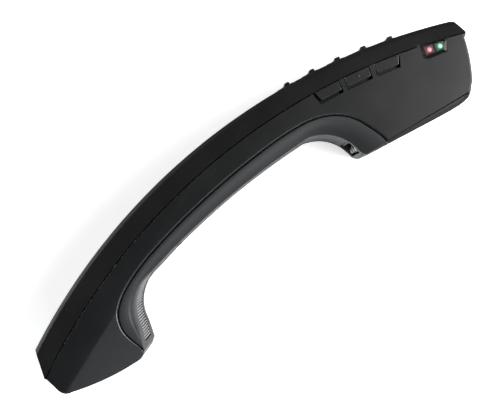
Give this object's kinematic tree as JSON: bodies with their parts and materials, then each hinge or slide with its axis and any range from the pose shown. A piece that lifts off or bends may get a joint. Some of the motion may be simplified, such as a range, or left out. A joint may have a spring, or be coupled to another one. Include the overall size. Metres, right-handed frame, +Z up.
{
  "type": "telephone handset controller",
  "caption": "Curved telephone-style hand controller with a raised keypad along its back, side keys, two lamps, a ribbed mouthpiece and a battery door in the grip.",
  "frame": {"origin": "centre of the bounding box, on the flat side that the handset lies on", "axes": "+X along the handset towards the head, +Y out of the keypad face, +Z up across the width"},
  "size_m": [0.2099, 0.0519, 0.0461],
  "materials": {
    "cover_plastic": "fine satin grain, near black",
    "shell_plastic": "fine satin grain, charcoal",
    "belly_plastic": "fine satin grain, charcoal",
    "grille_plastic": "satin",
    "felt": "black felt",
    "key_plastic": "satin",
    "side_key_plastic": "satin",
    "circuit_board": "green solder mask",
    "inner_plastic": "moulded, unpainted",
    "lamp_surround": "black",
    "red_lens": "tinted translucent",
    "green_lens": "tinted translucent",
    "led_body": "cream resin",
    "silicone": "grey silicone",
    "spring_steel": "plated",
    "tinned_steel": "tinned, dull",
    "copper_strip": "copper foil",
    "foam_rubber": "black foam rubber",
    "speaker_metal": "pressed steel",
    "cell_wrap": "printed film, no text",
    "contact_plating": "nickel plated",
    "screw_steel": "zinc plated",
    "ribbon_cable": "grey flat cable"
  },
  "bodies": {
    "case": {"outer_cover": "cover_plastic", "main_shell": "shell_plastic", "inner_cover": "belly_plastic", "grille": "grille_plastic", "grille_felt": "felt", "side_board": "circuit_board", "side_switches": "inner_plastic", "lamp_bezel": "lamp_surround", "lamp_red": "red_lens", "lamp_green": "green_lens", "lamp_leds": "led_body", "keypad_board": "circuit_board", "keymat": "silicone", "snap_domes": "spring_steel", "main_board": "circuit_board", "shield_can": "tinned_steel", "antenna": "copper_strip", "earpiece": "inner_plastic", "earpiece_gasket": "foam_rubber", "loudspeaker": "speaker_metal", "microphone": "tinned_steel", "mic_boot": "foam_rubber", "battery_tray": "inner_plastic", "battery_cell_a": "cell_wrap", "battery_cell_b": "cell_wrap", "battery_springs": "spring_steel", "battery_plates": "spring_steel", "contact_block": "lamp_surround", "dock_contacts": "contact_plating", "case_screws": "screw_steel", "harness": "ribbon_cable"},
    "key_r1c1": {"key_r1c1": "key_plastic"},
    "key_r1c2": {"key_r1c2": "key_plastic"},
    "key_r1c3": {"key_r1c3": "key_plastic"},
    "key_r2c1": {"key_r2c1": "key_plastic"},
    "key_r2c2": {"key_r2c2": "key_plastic"},
    "key_r2c3": {"key_r2c3": "key_plastic"},
    "key_r3c1": {"key_r3c1": "key_plastic"},
    "key_r3c2": {"key_r3c2": "key_plastic"},
    "key_r3c3": {"key_r3c3": "key_plastic"},
    "key_r4c1": {"key_r4c1": "key_plastic"},
    "key_r4c2": {"key_r4c2": "key_plastic"},
    "key_r4c3": {"key_r4c3": "key_plastic"},
    "key_r5c1": {"key_r5c1": "key_plastic"},
    "key_r5c2": {"key_r5c2": "key_plastic"},
    "key_r5c3": {"key_r5c3": "key_plastic"},
    "side_key_down": {"side_key_down": "side_key_plastic"},
    "side_key_mute": {"side_key_mute": "side_key_plastic"},
    "side_key_up": {"side_key_up": "side_key_plastic"},
    "battery_door": {"battery_door": "belly_plastic"}
  },
  "joints": [
    {"name": "press_r1c1", "type": "slide", "parent": "case", "child": "key_r1c1", "axis": [-0.1626, -0.9867, 0], "range_m": [0, 0.0007], "stiffness_N_per_m": 600, "springref_m": -0.001},
    {"name": "press_r1c2", "type": "slide", "parent": "case", "child": "key_r1c2", "axis": [-0.1626, -0.9867, 0], "range_m": [0, 0.0007], "stiffness_N_per_m": 600, "springref_m": -0.001},
    {"name": "press_r1c3", "type": "slide", "parent": "case", "child": "key_r1c3", "axis": [-0.1626, -0.9867, 0], "range_m": [0, 0.0007], "stiffness_N_per_m": 600, "springref_m": -0.001},
    {"name": "press_r2c1", "type": "slide", "parent": "case", "child": "key_r2c1", "axis": [-0.2069, -0.9784, 0], "range_m": [0, 0.0007], "stiffness_N_per_m": 600, "springref_m": -0.001},
    {"name": "press_r2c2", "type": "slide", "parent": "case", "child": "key_r2c2", "axis": [-0.2069, -0.9784, 0], "range_m": [0, 0.0007], "stiffness_N_per_m": 600, "springref_m": -0.001},
    {"name": "press_r2c3", "type": "slide", "parent": "case", "child": "key_r2c3", "axis": [-0.2069, -0.9784, 0], "range_m": [0, 0.0007], "stiffness_N_per_m": 600, "springref_m": -0.001},
    {"name": "press_r3c1", "type": "slide", "parent": "case", "child": "key_r3c1", "axis": [-0.2507, -0.9681, 0], "range_m": [0, 0.0007], "stiffness_N_per_m": 600, "springref_m": -0.001},
    {"name": "press_r3c2", "type": "slide", "parent": "case", "child": "key_r3c2", "axis": [-0.2507, -0.9681, 0], "range_m": [0, 0.0007], "stiffness_N_per_m": 600, "springref_m": -0.001},
    {"name": "press_r3c3", "type": "slide", "parent": "case", "child": "key_r3c3", "axis": [-0.2507, -0.9681, 0], "range_m": [0, 0.0007], "stiffness_N_per_m": 600, "springref_m": -0.001},
    {"name": "press_r4c1", "type": "slide", "parent": "case", "child": "key_r4c1", "axis": [-0.2941, -0.9558, 0], "range_m": [0, 0.0007], "stiffness_N_per_m": 600, "springref_m": -0.001},
    {"name": "press_r4c2", "type": "slide", "parent": "case", "child": "key_r4c2", "axis": [-0.2941, -0.9558, 0], "range_m": [0, 0.0007], "stiffness_N_per_m": 600, "springref_m": -0.001},
    {"name": "press_r4c3", "type": "slide", "parent": "case", "child": "key_r4c3", "axis": [-0.2941, -0.9558, 0], "range_m": [0, 0.0007], "stiffness_N_per_m": 600, "springref_m": -0.001},
    {"name": "press_r5c1", "type": "slide", "parent": "case", "child": "key_r5c1", "axis": [-0.3368, -0.9416, 0], "range_m": [0, 0.0007], "stiffness_N_per_m": 600, "springref_m": -0.001},
    {"name": "press_r5c2", "type": "slide", "parent": "case", "child": "key_r5c2", "axis": [-0.3368, -0.9416, 0], "range_m": [0, 0.0007], "stiffness_N_per_m": 600, "springref_m": -0.001},
    {"name": "press_r5c3", "type": "slide", "parent": "case", "child": "key_r5c3", "axis": [-0.3368, -0.9416, 0], "range_m": [0, 0.0007], "stiffness_N_per_m": 600, "springref_m": -0.001},
    {"name": "press_down", "type": "slide", "parent": "case", "child": "side_key_down", "axis": [0, 0, -1], "range_m": [0, 0.0006], "stiffness_N_per_m": 600, "springref_m": -0.001},
    {"name": "press_mute", "type": "slide", "parent": "case", "child": "side_key_mute", "axis": [0, 0, -1], "range_m": [0, 0.0006], "stiffness_N_per_m": 600, "springref_m": -0.001},
    {"name": "press_up", "type": "slide", "parent": "case", "child": "side_key_up", "axis": [0, 0, -1], "range_m": [0, 0.0006], "stiffness_N_per_m": 600, "springref_m": -0.001},
    {"name": "battery_door_hinge", "type": "hinge", "parent": "case", "child": "battery_door", "pos_m": [-0.0332, 0.00175, 0.023], "axis": [0, 0, -1], "range_deg": [0, 70]}
  ]
}
